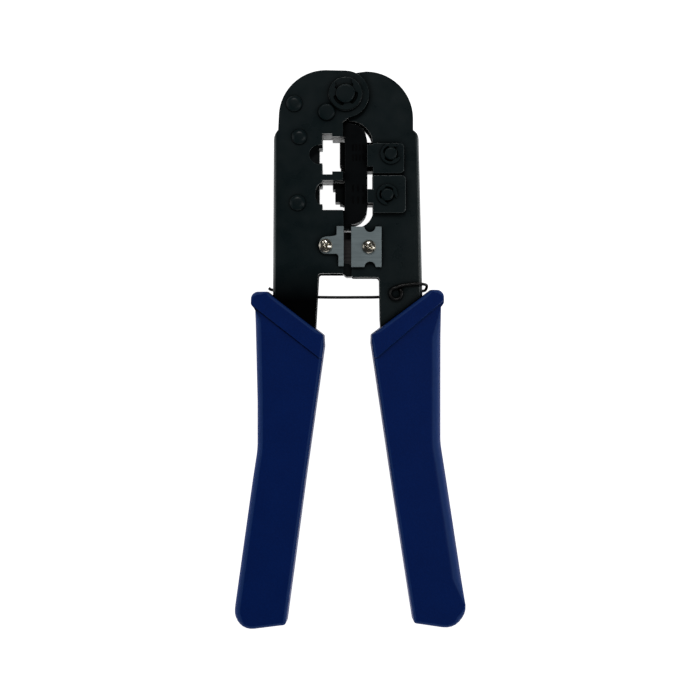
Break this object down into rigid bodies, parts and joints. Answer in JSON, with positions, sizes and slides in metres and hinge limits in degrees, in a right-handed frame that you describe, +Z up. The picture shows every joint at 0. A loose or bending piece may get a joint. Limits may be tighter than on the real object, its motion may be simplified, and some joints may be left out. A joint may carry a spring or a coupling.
{
  "type": "modular plug crimping tool",
  "caption": "Hand tool that crimps plugs onto flat or round data cable, with stripping and cutting blades and moulded grips.",
  "frame": {"origin": "bottom centre of the tool's bounding box, lying on its back on a bench", "axes": "+X to the right handle, +Y towards the head, +Z up through the tool's thickness"},
  "size_m": [0.0792, 0.1904, 0.0235],
  "materials": {
    "black_steel": "black oxide or thin black paint on stamped steel, semi-gloss",
    "guide_black": "black paint, darker and flatter than the frames",
    "bare_steel": "ground steel, matte",
    "nickel": "bright nickel plating",
    "spring_steel": "blackened spring wire",
    "blue_grip": "moulded navy blue plastic with a fine matte grain"
  },
  "bodies": {
    "left_handle": {"left_frame": "black_steel", "die_block": "bare_steel", "ram_guide_front": "guide_black", "ram_guide_back": "guide_black", "rivet_top_left": "black_steel", "rivet_spring_anchor": "black_steel", "rivet_middle": "black_steel", "rivet_lower": "black_steel", "pivot_pin": "black_steel", "pivot_washer": "black_steel", "pivot_e_clip": "black_steel", "return_spring": "spring_steel", "left_grip": "blue_grip", "stripper_blade": "bare_steel", "stripper_screw": "nickel", "inner_blade": "bare_steel"},
    "right_handle": {"right_frame": "black_steel", "right_grip": "blue_grip", "cutter_plate": "bare_steel", "cutter_screw": "nickel", "cutting_blade": "bare_steel", "lock_wire": "spring_steel"},
    "ram_8p_body": {"ram_8p": "black_steel", "ram_8p_plate_front": "black_steel", "ram_8p_plate_back": "black_steel", "ram_8p_pin": "black_steel", "ram_8p_e_clip": "black_steel"},
    "ram_6p_body": {"ram_6p": "black_steel", "ram_6p_plate_front": "black_steel", "ram_6p_plate_back": "black_steel", "ram_6p_pin": "black_steel", "ram_6p_e_clip": "black_steel"}
  },
  "joints": [
    {"name": "handle_hinge", "type": "hinge", "parent": "left_handle", "child": "right_handle", "pos_m": [-0.00157, 0.08709, 0.011], "axis": [0, 0, 1], "range_deg": [0, 12], "deforming": ["return_spring"]},
    {"name": "ram_8p_slide", "type": "slide", "parent": "left_handle", "child": "ram_8p_body", "axis": [1, 0, 0], "range_m": [0, 0.0048]},
    {"name": "ram_6p_slide", "type": "slide", "parent": "left_handle", "child": "ram_6p_body", "axis": [1, 0, 0], "range_m": [0, 0.0078]}
  ],
  "couplings": [
    {"joint": "ram_8p_slide", "follows": "handle_hinge", "m_per_rad": 0.02225},
    {"joint": "ram_6p_slide", "follows": "handle_hinge", "m_per_rad": 0.03629}
  ]
}
